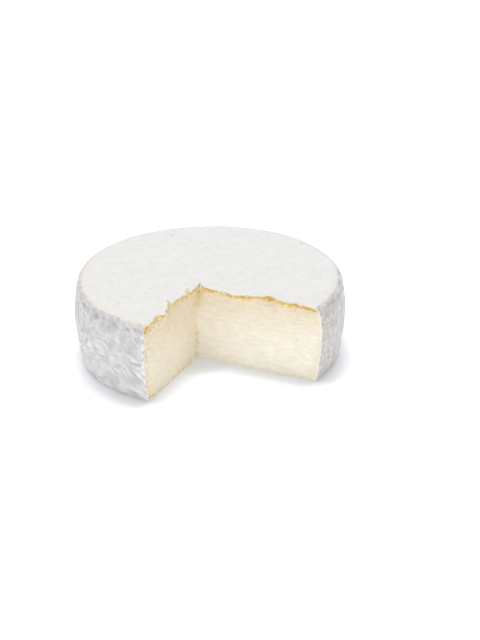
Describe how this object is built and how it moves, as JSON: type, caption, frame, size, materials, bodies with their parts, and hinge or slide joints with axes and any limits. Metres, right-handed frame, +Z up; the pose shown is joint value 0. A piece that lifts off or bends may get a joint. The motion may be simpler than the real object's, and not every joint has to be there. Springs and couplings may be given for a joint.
{
  "type": "cheese wheel",
  "caption": "Soft-ripened cheese wheel with a bloomy white rind, its wedge cut out to show pale cream paste.",
  "frame": {"origin": "on the wheel's axis, at its flat base, where it rests on the table; the axis passes through cheese, behind the notch's seam", "axes": "+Z up along the wheel's axis; the left cut wall of the notch runs from its seam towards -Y, and the right cut wall runs towards +X"},
  "size_m": [0.1303, 0.1306, 0.0386],
  "materials": {
    "rind": "matt, dry, powdery white mould bloom on a wrinkled skin",
    "paste": "pale cream, moist and finely grained, with a golden line just under the rind"
  },
  "bodies": {
    "root": {"cheese_wheel": "rind"}
  },
  "joints": []
}
